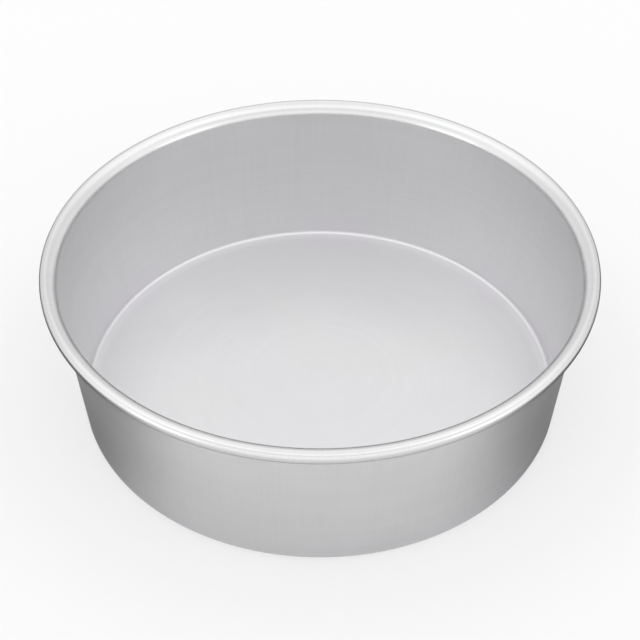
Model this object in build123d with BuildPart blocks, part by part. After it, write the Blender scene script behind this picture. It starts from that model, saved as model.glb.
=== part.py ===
from build123d import *

import os
from math import acos, asin, atan2, cos, degrees, hypot, radians, sin, tan

# Round deep cake tin, drawn in one piece from a flat disc of aluminium sheet.
# The origin is the centre of the resting face, and +Z points up through the mouth.

# Driving sizes in millimetres and degrees
rim_diameter = 243.7  # outside the rolled rim
floor_diameter = 217.0  # clear width where the line of the wall meets the floor
tin_height = 76.2  # from the resting face to the top of the rim
sheet_thickness = 0.9
corner_radius = 2.0  # inside bend between floor and wall
shoulder_radius = 6.5  # wide bend that carries the wall over into the rolled rim
shoulder_end_slope = 22.0  # slope of the sheet where the wide bend passes into the tight roll
bead_diameter = 5.1  # outside width of the tight roll
curl_gap = 0.35  # between the curled edge and the sheet that it turns back to

# Radii of the sheet's middle line in its three bends
half_sheet = sheet_thickness / 2
bead_radius = bead_diameter / 2
corner_bend = corner_radius + half_sheet
shoulder_bend = shoulder_radius - half_sheet
curl_bend = bead_radius - half_sheet

# The tight roll touches the rim's full height and width, and the wide bend touches the roll
bead_centre = (rim_diameter / 2 - bead_radius, tin_height - bead_radius)
bead_to_shoulder = shoulder_radius - bead_radius
shoulder_centre = (
    bead_centre[0] + bead_to_shoulder * sin(radians(shoulder_end_slope)),
    bead_centre[1] - bead_to_shoulder * cos(radians(shoulder_end_slope)),
)

# The inside face of the wall runs from the floor's edge up to touch the wide bend
floor_edge = (floor_diameter / 2, sheet_thickness)
edge_to_shoulder = (shoulder_centre[0] - floor_edge[0], shoulder_centre[1] - floor_edge[1])
edge_to_shoulder_length = hypot(edge_to_shoulder[0], edge_to_shoulder[1])
leaning_share = shoulder_radius / edge_to_shoulder_length
wall_angle = degrees(atan2(edge_to_shoulder[1], edge_to_shoulder[0]) + asin(leaning_share))
wall_facing_angle = wall_angle + 90

# Where the flat floor ends and the bend into the wall begins
bend_setback = corner_radius * tan(radians(wall_angle / 2))
flat_floor_radius = floor_edge[0] - bend_setback

# The middle line's point where the wall passes into the wide bend
shoulder_start = (
    shoulder_centre[0] + shoulder_bend * cos(radians(wall_facing_angle)),
    shoulder_centre[1] + shoulder_bend * sin(radians(wall_facing_angle)),
)
shoulder_turn = wall_angle - shoulder_end_slope

# The roll goes on until its cut edge is one gap away from the underside of the wide bend
cut_edge_reach = shoulder_radius - sheet_thickness - curl_gap
cut_edge_cosine = (cut_edge_reach**2 - bead_to_shoulder**2 - bead_radius**2) / (
    2 * bead_to_shoulder * bead_radius
)
curl_turn = 360 - degrees(acos(cut_edge_cosine))

# The whole tin is one sheet, so its section is a single line given the sheet's thickness
with BuildPart() as cake_tin:
    with BuildSketch(Plane.XZ) as section:
        with BuildLine() as middle_line:
            floor = Line((0, half_sheet), (flat_floor_radius, half_sheet))
            corner = JernArc(floor @ 1, floor % 1, corner_bend, wall_angle)
            wall = Line(corner @ 1, shoulder_start)
            shoulder = JernArc(wall @ 1, wall % 1, shoulder_bend, -shoulder_turn)
            curl = JernArc(shoulder @ 1, shoulder % 1, curl_bend, -curl_turn)
        trace(line_width=sheet_thickness)
    revolve(axis=Axis.Z)

cake_tin.part.label = "cake_tin"

os.makedirs("parts", exist_ok=True)
export_step(cake_tin.part, "parts/cake_tin.step")

mouth_diameter = 2 * (shoulder_centre[0] + shoulder_radius * cos(radians(wall_facing_angle)))
print(f"mouth {mouth_diameter:.1f} mm wide, wall leans out by {90 - wall_angle:.2f} degrees")
print(f"rim turns through {shoulder_turn + curl_turn:.1f} degrees in all")
print(f"sheet volume {cake_tin.part.volume:.0f} cubic mm, {len(cake_tin.faces())} faces")
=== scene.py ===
from math import acos, asin, atan2, cos, hypot, pi, radians, sin, tan

import bpy
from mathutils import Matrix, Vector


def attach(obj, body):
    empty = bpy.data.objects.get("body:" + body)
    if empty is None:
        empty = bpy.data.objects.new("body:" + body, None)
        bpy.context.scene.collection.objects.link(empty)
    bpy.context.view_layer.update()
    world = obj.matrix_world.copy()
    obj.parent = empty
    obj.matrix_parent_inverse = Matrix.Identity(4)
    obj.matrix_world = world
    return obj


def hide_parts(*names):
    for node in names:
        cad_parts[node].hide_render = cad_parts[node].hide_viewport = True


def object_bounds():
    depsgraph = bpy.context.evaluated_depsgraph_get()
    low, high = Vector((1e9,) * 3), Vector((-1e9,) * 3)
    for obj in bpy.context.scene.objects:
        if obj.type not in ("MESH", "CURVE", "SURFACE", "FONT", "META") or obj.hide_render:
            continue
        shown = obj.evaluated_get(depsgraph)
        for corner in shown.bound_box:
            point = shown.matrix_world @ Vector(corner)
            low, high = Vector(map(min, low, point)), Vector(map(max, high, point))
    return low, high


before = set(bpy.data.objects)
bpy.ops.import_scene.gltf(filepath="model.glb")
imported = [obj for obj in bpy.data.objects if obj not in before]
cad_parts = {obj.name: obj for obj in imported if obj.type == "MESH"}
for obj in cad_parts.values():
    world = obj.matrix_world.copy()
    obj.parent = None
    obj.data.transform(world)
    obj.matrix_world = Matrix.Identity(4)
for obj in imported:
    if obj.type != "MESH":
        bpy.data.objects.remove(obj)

cad_low, cad_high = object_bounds()

# The tin's section in metres. Its height and its reach are the CAD box's
TIN_HEIGHT = cad_high.z
RIM_RADIUS = min(cad_high.x, cad_high.y, -cad_low.x, -cad_low.y)
FLOOR_RADIUS = 0.1085
SHEET = 0.0009

# The floor eases up by a slight slope before the corner's bend
EASE_RADIUS = 0.035
EASE_SLOPE = radians(7)
CORNER_RADIUS = 0.0020
FOOT_RADIUS = CORNER_RADIUS + SHEET

# The wall goes over a wide bend into a tight roll, whose lower half hangs a little lower
SHOULDER_RADIUS = 0.0065
SHOULDER_SLOPE = radians(22)
BEAD_RADIUS = 0.00255
BEAD_DROP = 0.0008
CURL_GAP = 0.00035
EDGE_ROUNDING = 0.00015

# How finely the section is divided and turned
TURN_STEPS = 320
ARC_STEP = radians(4)
EASE_STEP = radians(0.5)
EDGE_STEPS = 4
WALL_RINGS = 12
FLOOR_RINGS = 16


def arc(centre, radius, start, end, hollow=False, step=ARC_STEP):
    """Section points along an arc, each as radius, height and the angle that its face looks in.

    A hollow arc is seen from its centre's side.
    """
    count = max(2, round(abs(end - start) / step))
    angles = [start + (end - start) * i / count for i in range(count + 1)]
    turn = pi if hollow else 0
    return [(centre[0] + radius * cos(a), centre[1] + radius * sin(a), a + turn) for a in angles]


def between(first, last, count):
    """The points that divide the straight run between two section points, with both ends left out."""
    shares = [i / count for i in range(1, count)]
    return [
        (first[0] + (last[0] - first[0]) * s, first[1] + (last[1] - first[1]) * s, first[2])
        for s in shares
    ]


def rolled_edge(centre, outer, inner, end):
    """The cut edge of the curl, with its two corners slightly rounded.

    Gives the angles where the outside and the inside of the curl stop, and the points between them.
    """
    outer_reach, inner_reach = outer - EDGE_ROUNDING, inner + EDGE_ROUNDING
    outer_stop = end + asin(EDGE_ROUNDING / outer_reach)
    inner_stop = end + asin(EDGE_ROUNDING / inner_reach)
    facing = end - pi / 2
    corners = []
    for reach, stop, turn_start, turn_end in (
        (outer_reach, outer_stop, outer_stop, facing),
        (inner_reach, inner_stop, facing, inner_stop - pi),
    ):
        middle = (centre[0] + reach * cos(stop), centre[1] + reach * sin(stop))
        step = (turn_end - turn_start) / EDGE_STEPS
        angles = [turn_start + step * i for i in range(EDGE_STEPS + 1)]
        corners += [
            (middle[0] + EDGE_ROUNDING * cos(a), middle[1] + EDGE_ROUNDING * sin(a), a) for a in angles
        ]
    return outer_stop, inner_stop, corners


def tin_section():
    """The sheet's outline from the floor's centre, up the inside, round the rim and back under the floor."""
    # The wide bend touches the roll, and the wall's inside runs from the floor's edge to touch the bend
    floor_edge = (FLOOR_RADIUS, SHEET)
    bead_centre = (RIM_RADIUS - BEAD_RADIUS, TIN_HEIGHT - BEAD_RADIUS)
    offset = SHOULDER_RADIUS - BEAD_RADIUS
    shoulder_centre = (
        bead_centre[0] + offset * sin(SHOULDER_SLOPE),
        bead_centre[1] - offset * cos(SHOULDER_SLOPE),
    )
    across, up = shoulder_centre[0] - floor_edge[0], shoulder_centre[1] - floor_edge[1]
    wall_angle = atan2(up, across) + asin(SHOULDER_RADIUS / hypot(across, up))
    wall_side = wall_angle - pi / 2
    shoulder = (wall_angle + pi / 2, SHOULDER_SLOPE + pi / 2)

    # The floor's easing touches the corner's bend, which touches the wall's inside
    bend_rise = EASE_RADIUS - (EASE_RADIUS - CORNER_RADIUS) * cos(EASE_SLOPE)
    bend_centre = (
        floor_edge[0] - (CORNER_RADIUS - bend_rise * cos(wall_angle)) / sin(wall_angle),
        SHEET + bend_rise,
    )
    ease_centre = (
        bend_centre[0] - (EASE_RADIUS - CORNER_RADIUS) * sin(EASE_SLOPE),
        SHEET + EASE_RADIUS,
    )
    foot_centre = (floor_edge[0] - CORNER_RADIUS * tan(wall_angle / 2), FOOT_RADIUS)

    # The curl would end the gap's width short of the wide bend's underside, if the roll didn't hang lower
    curl_inside = BEAD_RADIUS - SHEET
    cut_reach = SHOULDER_RADIUS - SHEET - CURL_GAP
    cut_cosine = (cut_reach**2 - offset**2 - BEAD_RADIUS**2) / (2 * offset * BEAD_RADIUS)
    curl_end = shoulder[1] - 2 * pi + acos(cut_cosine)
    low_centre = (bead_centre[0], bead_centre[1] - BEAD_DROP)
    outer_stop, inner_stop, cut_edge = rolled_edge(low_centre, BEAD_RADIUS, curl_inside, curl_end)

    centre_top = (0, SHEET, pi / 2)
    centre_under = (0, 0, -pi / 2)
    ease_end = EASE_SLOPE - pi / 2
    floor_ease = arc(ease_centre, EASE_RADIUS, -pi / 2, ease_end, hollow=True, step=EASE_STEP)
    floor_bend = arc(bend_centre, CORNER_RADIUS, ease_end, wall_side, hollow=True)
    shoulder_top = arc(shoulder_centre, SHOULDER_RADIUS, *shoulder)
    curl_out = arc(bead_centre, BEAD_RADIUS, shoulder[1], 0) + arc(low_centre, BEAD_RADIUS, 0, outer_stop)
    curl_in = arc(low_centre, curl_inside, inner_stop, 0, hollow=True)
    curl_in += arc(bead_centre, curl_inside, 0, shoulder[1], hollow=True)
    shoulder_under = arc(shoulder_centre, SHOULDER_RADIUS - SHEET, shoulder[1], shoulder[0], hollow=True)
    foot_bend = arc(foot_centre, FOOT_RADIUS, wall_side, -pi / 2)

    section = [centre_top] + between(centre_top, floor_ease[0], FLOOR_RINGS)
    section += floor_ease[:-1] + floor_bend + between(floor_bend[-1], shoulder_top[0], WALL_RINGS)
    section += shoulder_top + curl_out[1:-1] + cut_edge
    section += curl_in[1:-1] + shoulder_under
    section += between(shoulder_under[-1], foot_bend[0], WALL_RINGS) + foot_bend
    section += between(foot_bend[-1], centre_under, FLOOR_RINGS) + [centre_under]
    return section


def ring(radius, height, steps):
    """Points round the Z axis, at this radius and height."""
    angles = [2 * pi * i / steps for i in range(steps)]
    return [(radius * cos(a), radius * sin(a), height) for a in angles]


def band(start, steps):
    """The faces between the ring of points that begins at start and the ring after it."""
    pairs = [(start + i, start + (i + 1) % steps) for i in range(steps)]
    return [(a, a + steps, b + steps, b) for a, b in pairs]


def new_mesh(name, points, faces):
    """A mesh of these points and faces."""
    mesh = bpy.data.meshes.new(name)
    mesh.from_pydata(points, [], faces)
    return mesh


def placed(name, data):
    """An object that shows this mesh or camera, put in the scene."""
    thing = bpy.data.objects.new(name, data)
    bpy.context.scene.collection.objects.link(thing)
    return thing


def turned_mesh(name, section, steps):
    """A closed mesh of the section turned round the Z axis. Its first and last points lie on the axis."""
    points, normals, faces = [], [], []
    for radius, height, facing in section[1:-1]:
        points += ring(radius, height, steps)
        normals += ring(cos(facing), sin(facing), steps)
    top, under = len(points), len(points) + 1
    points += [(0, 0, section[0][1]), (0, 0, section[-1][1])]
    normals += [(0, 0, 1), (0, 0, -1)]
    last = top - steps
    for start in range(0, last, steps):
        faces += band(start, steps)
    for i in range(steps):
        j = (i + 1) % steps
        faces += [(top, i, j), (last + i, under, last + j)]
    mesh = new_mesh(name, points, faces)
    mesh.shade_smooth()
    mesh.normals_split_custom_set_from_vertices(normals)
    mesh.validate()
    return mesh


def new_material(name):
    """A material with its node tree and shader."""
    material = bpy.data.materials.new(name)
    material.use_nodes = True
    tree = material.node_tree
    return material, tree, tree.nodes["Principled BSDF"]


def fill(tree, socket, value):
    """Links an input to another node's output, or sets its number or colour."""
    if isinstance(value, bpy.types.NodeSocket):
        tree.links.new(value, socket)
    else:
        socket.default_value = value


def add(tree, kind, inputs=(), **settings):
    """Adds a node, sets what is given, and fills its inputs by name or number."""
    node = tree.nodes.new(kind)
    for key, value in settings.items():
        setattr(node, key, value)
    for key, value in dict(inputs).items():
        fill(tree, node.inputs[key], value)
    return node


def calculate(tree, operation, *values):
    """The result of a math node."""
    return add(tree, "ShaderNodeMath", dict(enumerate(values)), operation=operation).outputs[0]


def vector(tree, operation, *values):
    """The vector that a vector math node gives."""
    node = add(tree, "ShaderNodeVectorMath", dict(enumerate(values)), operation=operation)
    return node.outputs["Vector"]


def measured(tree, operation, *values):
    """The number that a vector math node gives."""
    node = add(tree, "ShaderNodeVectorMath", dict(enumerate(values)), operation=operation)
    return node.outputs["Value"]


def separated(tree, value):
    """The X, Y and Z of a vector."""
    return add(tree, "ShaderNodeSeparateXYZ", {0: value}).outputs


def combined(tree, **parts):
    """A vector of the parts that are given, with zero for the others."""
    return add(tree, "ShaderNodeCombineXYZ", parts).outputs[0]


def centred(tree, value):
    """A noise that swings to both sides of zero."""
    return calculate(tree, "SUBTRACT", value, 0.5)


def mapped(tree, value, low, high, to_low=0.0, to_high=1.0):
    """The value carried smoothly from one range to another, and held at the ends."""
    limits = {"Value": value, "From Min": low, "From Max": high, "To Min": to_low, "To Max": to_high}
    return add(tree, "ShaderNodeMapRange", limits, interpolation_type="SMOOTHSTEP").outputs["Result"]


def rising(tree, value, limits):
    """Zero below the limits, one above them, and smooth between."""
    return mapped(tree, value, *limits)


def falling(tree, value, limits):
    """One below the limits, zero above them, and smooth between."""
    return mapped(tree, value, *limits, 1.0, 0.0)


def blended(tree, share, first, second):
    """One colour that passes into another by share."""
    node = add(tree, "ShaderNodeMix", {"Factor": share}, data_type="RGBA")
    colour_inputs = [socket for socket in node.inputs if socket.type == "RGBA"]
    for socket, colour in zip(colour_inputs, (first, second)):
        fill(tree, socket, colour)
    return next(socket for socket in node.outputs if socket.type == "RGBA")


def noise(tree, place, scale, detail):
    """Cloudy noise between 0 and 1, at this many clouds a metre and this many levels of detail."""
    inputs = {"Vector": place, "Scale": scale, "Detail": detail}
    return add(tree, "ShaderNodeTexNoise", inputs).outputs["Fac"]


def grey(level):
    """A grey of this level."""
    return (level, level, level, 1)


def ramp(tree, value, stops):
    """Grey levels by value, passing smoothly from stop to stop."""
    node = add(tree, "ShaderNodeValToRGB", {"Fac": value})
    node.color_ramp.interpolation = "EASE"
    elements = node.color_ramp.elements
    for element, (place, level) in zip(elements, (stops[0], stops[-1])):
        element.position = place
        element.color = grey(level)
    for place, level in stops[1:-1]:
        elements.new(place).color = grey(level)
    return node.outputs["Color"]


# The sheet's colours: the metal, its faint lilac, and the painted shade in the crevice under the roll
METAL_COLOUR = (0.792, 0.792, 0.794, 1)
METAL_LILAC = (0.786, 0.777, 0.797, 1)
METAL_CREVICE_SHADE = grey(0.50)

# Marks in the sheet as noise: clouds a metre, and levels of detail
CLOUDS = (32, 3)
BROAD_RINGS = (240, 2)
RINGS = (1400, 3)
GRAIN = (3800, 2)
STREAKS = (90, 3)
LILAC_PATCHES = (14, 1)

# How far the rings' noise moves on round the tin, and the streaks' noise up the wall
RING_DRIFT = (0.0006, 0.0006, 0)
STREAK_DRIFT = (0, 0, 0.22)

# How far the clouds, broad rings, rings and grain swing the roughness and the brightness
MARK_ROUGHNESS = (0.07, 0.05, 0.08, 0.12)
MARK_TONE = (0.06, 0.05, 0.055, 0.06)
STREAK_TONE = 0.05

# The relief of grain and rings, whose share is measured against the grain's
RELIEF_RINGS = 0.6
RELIEF_HEIGHT = 0.000014

# Roughness of the sheet and of its rim, and the heights between which one passes into the other
METAL_ROUGHNESS = 0.40
RIM_ROUGHNESS = 0.28
RIM_HEIGHT = (0.0700, 0.0725)

# The distances from the axis between which the roll begins, and the share of the marks that it keeps
ROLL_REACH = (0.1148, 0.1164)
ROLL_MARKS = 0.35

# What the wall and the roll reflect at a grazing angle
WALL_GRAZING = grey(1.0)
ROLL_GRAZING = grey(0.46)

# The streaks begin above the corner, and the corner's bend is a little brighter as a painted highlight
STREAK_HEIGHT = (0.003, 0.012)
BEND_REACH = (0.1035, 0.1055)
BEND_HEIGHT = (0.0030, 0.0045)
BEND_HIGHLIGHT = 0.02

# The lilac lies in patches, with this share of it left between them, and fades out up the wall
LILAC_LIMITS = (0.30, 0.65)
LILAC_LEAST = 0.3
LILAC_HEIGHT = (0.0012, 0.0300)

# Painted shade in the crevice under the roll: on faces that look down, this high, and no further out than
# this
CREVICE_FACING = (-0.06, -0.02)
CREVICE_HEIGHT = (0.0660, 0.0700)
CREVICE_REACH = (0.1195, 0.1208)


def metal_colour(tree, place, reach, height):
    """The sheet's colour without its marks, darkened by painted shade in the crevice under the roll."""
    patches = mapped(tree, noise(tree, place, *LILAC_PATCHES), *LILAC_LIMITS, LILAC_LEAST, 1.0)
    lilac = calculate(tree, "MULTIPLY", patches, falling(tree, height, LILAC_HEIGHT))
    colour = blended(tree, lilac, METAL_COLOUR, METAL_LILAC)

    # Painted shade: the wall just under the roll is darkened towards grey where its faces look down
    normal = add(tree, "ShaderNodeNewGeometry").outputs["Normal"]
    crevice_shade = falling(tree, separated(tree, normal)["Z"], CREVICE_FACING)
    crevice_shade = calculate(tree, "MULTIPLY", crevice_shade, rising(tree, height, CREVICE_HEIGHT))
    crevice_shade = calculate(tree, "MULTIPLY", crevice_shade, falling(tree, reach, CREVICE_REACH))
    return blended(tree, crevice_shade, colour, METAL_CREVICE_SHADE)


def metal_tone(tree, marks, streaks, reach, height):
    """How the marks lighten and darken the sheet, with a painted highlight on the corner's bend, as a factor
    close to one.
    """
    on_wall = rising(tree, height, STREAK_HEIGHT)
    streak_tone = calculate(tree, "MULTIPLY", centred(tree, streaks), STREAK_TONE)
    tone = calculate(tree, "MULTIPLY_ADD", streak_tone, on_wall, 1.0)
    for mark, amount in zip(marks, MARK_TONE):
        tone = calculate(tree, "MULTIPLY_ADD", centred(tree, mark), amount, tone)
    # Painted highlight: the corner's bend is lightened a little
    on_bend = rising(tree, reach, BEND_REACH)
    bend_highlight = calculate(tree, "MULTIPLY", on_bend, falling(tree, height, BEND_HEIGHT))
    return calculate(tree, "MULTIPLY_ADD", bend_highlight, BEND_HIGHLIGHT, tone)


def anodised_aluminium():
    """Pale satin anodised sheet with the faint rings that spinning leaves."""
    material, tree, surface = new_material("anodised_aluminium")
    place = add(tree, "ShaderNodeTexCoord").outputs["Object"]
    parts = separated(tree, place)
    height = parts["Z"]
    level_place = combined(tree, X=parts["X"], Y=parts["Y"])
    reach = measured(tree, "LENGTH", level_place)
    around = vector(tree, "NORMALIZE", level_place)

    # Rings change fast along the section and slowly round the tin, and streaks the other way round
    along = combined(tree, Z=calculate(tree, "ADD", reach, height))
    ring_place = vector(tree, "MULTIPLY_ADD", around, RING_DRIFT, along)
    streak_place = vector(tree, "MULTIPLY_ADD", place, STREAK_DRIFT, around)
    clouds = noise(tree, place, *CLOUDS)
    broad_rings = noise(tree, ring_place, *BROAD_RINGS)
    rings = noise(tree, ring_place, *RINGS)
    grain = noise(tree, place, *GRAIN)
    streaks = noise(tree, streak_place, *STREAKS)
    marks = (clouds, broad_rings, rings, grain)

    # The roll, worked last, is smoother and its marks are fainter
    strength = mapped(tree, reach, *ROLL_REACH, 1.0, ROLL_MARKS)
    roughness = mapped(tree, height, *RIM_HEIGHT, METAL_ROUGHNESS, RIM_ROUGHNESS)
    for mark, amount in zip(marks, MARK_ROUGHNESS):
        offset = calculate(tree, "MULTIPLY", centred(tree, mark), strength)
        roughness = calculate(tree, "MULTIPLY_ADD", offset, amount, roughness)
    relief = calculate(tree, "MULTIPLY_ADD", rings, RELIEF_RINGS, grain)
    relief = calculate(tree, "MULTIPLY", relief, strength)
    bump = add(tree, "ShaderNodeBump", {"Height": relief, "Strength": 1.0, "Distance": RELIEF_HEIGHT})

    colour = metal_colour(tree, place, reach, height)
    tone = metal_tone(tree, marks, streaks, reach, height)
    grazing = blended(tree, rising(tree, reach, ROLL_REACH), WALL_GRAZING, ROLL_GRAZING)
    fill(tree, surface.inputs["Base Color"], vector(tree, "MULTIPLY", colour, tone))
    fill(tree, surface.inputs["Roughness"], roughness)
    fill(tree, surface.inputs["Normal"], bump.outputs["Normal"])
    fill(tree, surface.inputs["Specular Tint"], grazing)
    surface.inputs["Metallic"].default_value = 1
    return material


# The studio's paper, with its fibre as noise, and how far the floor's look is drawn towards plain white
FLOOR_WHITE = grey(0.92)
FIBRE_WHITE = grey(0.90)
FIBRE = (900, 3)
PAPER_ROUGHNESS = 0.9
FLOOR_WHITENING = 0.45

# The reach of the studio's floor, and how many sides its round shapes have
STUDIO_REACH = 3.0
STUDIO_STEPS = 96


def matt_paper(name, make_colour):
    """A material of matt paper, whose colour is made by a function of its nodes and its place."""
    material, tree, surface = new_material(name)
    place = add(tree, "ShaderNodeTexCoord").outputs["Object"]
    fill(tree, surface.inputs["Base Color"], make_colour(tree, place))
    surface.inputs["Roughness"].default_value = PAPER_ROUGHNESS
    surface.inputs["Specular IOR Level"].default_value = 0
    return material


def seen_directly(tree):
    """One for the camera's rays and for those that go on from metal or glass, and otherwise zero."""
    light_path = add(tree, "ShaderNodeLightPath").outputs
    either = calculate(tree, "MAXIMUM", light_path["Is Camera Ray"], light_path["Is Glossy Ray"])
    return calculate(tree, "MAXIMUM", either, light_path["Is Transmission Ray"])


def fibre_colour(tree, place):
    """White with a faint fibre."""
    return blended(tree, noise(tree, place, *FIBRE), FIBRE_WHITE, FLOOR_WHITE)


def floor_paper():
    """White paper, which looks whiter than the light on it makes it."""
    material = matt_paper("floor_paper", fibre_colour)
    tree = material.node_tree
    paper = tree.nodes["Principled BSDF"].outputs[0]
    white = add(tree, "ShaderNodeEmission", {"Color": grey(1.0), "Strength": 1.0}).outputs[0]
    share = calculate(tree, "MULTIPLY", seen_directly(tree), FLOOR_WHITENING)
    mix = add(tree, "ShaderNodeMixShader", {0: share, 1: paper, 2: white}).outputs[0]
    fill(tree, tree.nodes["Material Output"].inputs["Surface"], mix)
    return material


def staged(name, points, faces, material):
    """An object of the studio, which isn't part of the tin."""
    thing = placed(name, new_mesh(name, points, faces))
    thing.data.materials.append(material)
    return thing


def studio_floor():
    """A wide pale floor."""
    points = ring(STUDIO_REACH, 0, STUDIO_STEPS)
    staged("studio_floor", points, [tuple(range(STUDIO_STEPS))], floor_paper())


# The grey card, painted shade seen only in the metal's reflection of the floor: where it begins and ends,
# how far it lies above the floor, and where it fades to white
CARD_INNER = 0.1090
CARD_OUTER = 1.00
CARD_LIFT = 0.0003
CARD_FADE = (0.17, 0.25)

# The card's two greys, painted shade in the metal's reflection
CARD_LIGHT = grey(0.70)
CARD_DARK = grey(0.20)

# The dark grey's ellipses, each by its centre and radii, and the shares of the radii between which they end
CARD_SPOTS = (((0.17, 0.05, 0), (0.18, 0.21, 1)), ((0.40, 0.35, 0), (0.40, 0.33, 1)))
CARD_SPOT_SHARES = (0.50, 1.00)


def shade_colour(tree, place):
    """Grey, darker to the left and right of the tin, that fades into the floor's white: painted shade for
    the metal's reflection.
    """
    parts = separated(tree, place)
    spot_place = combined(tree, X=calculate(tree, "ABSOLUTE", parts["X"]), Y=parts["Y"])
    distances = []
    for centre, radii in CARD_SPOTS:
        offset = vector(tree, "SUBTRACT", spot_place, centre)
        distances.append(measured(tree, "LENGTH", vector(tree, "DIVIDE", offset, radii)))
    nearest = calculate(tree, "MINIMUM", *distances)
    reach = measured(tree, "LENGTH", place)
    pale = blended(tree, rising(tree, reach, CARD_FADE), CARD_LIGHT, FLOOR_WHITE)
    return blended(tree, rising(tree, nearest, CARD_SPOT_SHARES), CARD_DARK, pale)


def painted_reflection_card():
    """A grey card lying on the floor round the tin, which only the metal sees: a painted reflection that
    darkens the tin's sides.
    """
    points = ring(CARD_INNER, CARD_LIFT, STUDIO_STEPS) + ring(CARD_OUTER, CARD_LIFT, STUDIO_STEPS)
    card = staged("painted_reflection_card", points, band(0, STUDIO_STEPS), matt_paper("shade_paper", shade_colour))
    # Seen only in the metal: painted shade in its reflection of the floor
    card.visible_camera = False
    card.visible_diffuse = False
    card.visible_shadow = False


# The surroundings' full level, and shares of it by the sine of the angle above the horizon
SKY_FULL = 1.6
SKY_FRONT = (
    (0.0, 0.76), (0.14, 0.72), (0.30, 0.68), (0.45, 0.67),
    (0.68, 0.51), (0.84, 0.79), (0.93, 0.77), (1.0, 0.62),
)
SKY_BEHIND = (
    (0.0, 0.58), (0.14, 0.60), (0.36, 0.56), (0.50, 0.47),
    (0.72, 0.68), (0.88, 0.71), (1.0, 0.62),
)

# The sky in front of the tin passes into the one behind it between these values of a direction's Y
SKY_TURN = (-0.15, 0.20)

# Soft lights, each with its twin on the other side, by degrees and by the share of the full level they add
SOFT_LIGHTS = (
    {"round_from_front": 57, "up": 2, "full_within": 3, "gone_beyond": 13, "share": 1.10},
    {"round_from_front": 92, "up": 48, "full_within": 8, "gone_beyond": 34, "share": 0.10},
)


def studio_world():
    """Pale surroundings, brighter low in front of the tin than low behind it, with a dimmer band above."""
    world = bpy.data.worlds.new("studio")
    bpy.context.scene.world = world
    world.use_nodes = True
    tree = world.node_tree
    direction = separated(tree, add(tree, "ShaderNodeTexCoord").outputs["Generated"])
    behind = rising(tree, direction["Y"], SKY_TURN)
    front_sky = ramp(tree, direction["Z"], SKY_FRONT)
    back_sky = ramp(tree, direction["Z"], SKY_BEHIND)
    sky = blended(tree, behind, front_sky, back_sky)
    either_side = calculate(tree, "ABSOLUTE", direction["X"])
    one_side = combined(tree, X=either_side, Y=direction["Y"], Z=direction["Z"])
    for light in SOFT_LIGHTS:
        aside, up = radians(light["round_from_front"]), radians(light["up"])
        centre = (sin(aside) * cos(up), -cos(aside) * cos(up), sin(up))
        nearness = measured(tree, "DOT_PRODUCT", one_side, centre)
        gone, full = cos(radians(light["gone_beyond"])), cos(radians(light["full_within"]))
        glow = mapped(tree, nearness, gone, full, 0.0, light["share"])
        sky = vector(tree, "ADD", sky, glow)
    background = tree.nodes["Background"]
    fill(tree, background.inputs["Color"], sky)
    background.inputs["Strength"].default_value = SKY_FULL


# The camera stands in front of the rim's centre, this far away and this high, and tilts down a little more
CAMERA_ELEVATION = radians(38.95)
CAMERA_TILT = radians(2.74)
CAMERA_DISTANCE = 0.6287
CAMERA_NEAREST = 0.01
LENS = 80.86
SENSOR_WIDTH = 36


def studio_camera():
    """The camera at the photograph's viewing angle."""
    lens = bpy.data.cameras.new("camera")
    lens.sensor_width = SENSOR_WIDTH
    lens.lens = LENS
    lens.clip_start = CAMERA_NEAREST
    camera = placed("camera", lens)
    back = CAMERA_DISTANCE * cos(CAMERA_ELEVATION)
    camera.location = (0, -back, TIN_HEIGHT + CAMERA_DISTANCE * sin(CAMERA_ELEVATION))
    camera.rotation_euler = (pi / 2 - CAMERA_ELEVATION - CAMERA_TILT, 0, 0)
    bpy.context.scene.camera = camera


tin = placed("tin_shell", turned_mesh("tin_shell", tin_section(), TURN_STEPS))
tin.data.materials.append(anodised_aluminium())
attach(tin, "root")
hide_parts("cake_tin")

studio_floor()
painted_reflection_card()
studio_world()
studio_camera()
bpy.context.scene.view_settings.view_transform = "Standard"
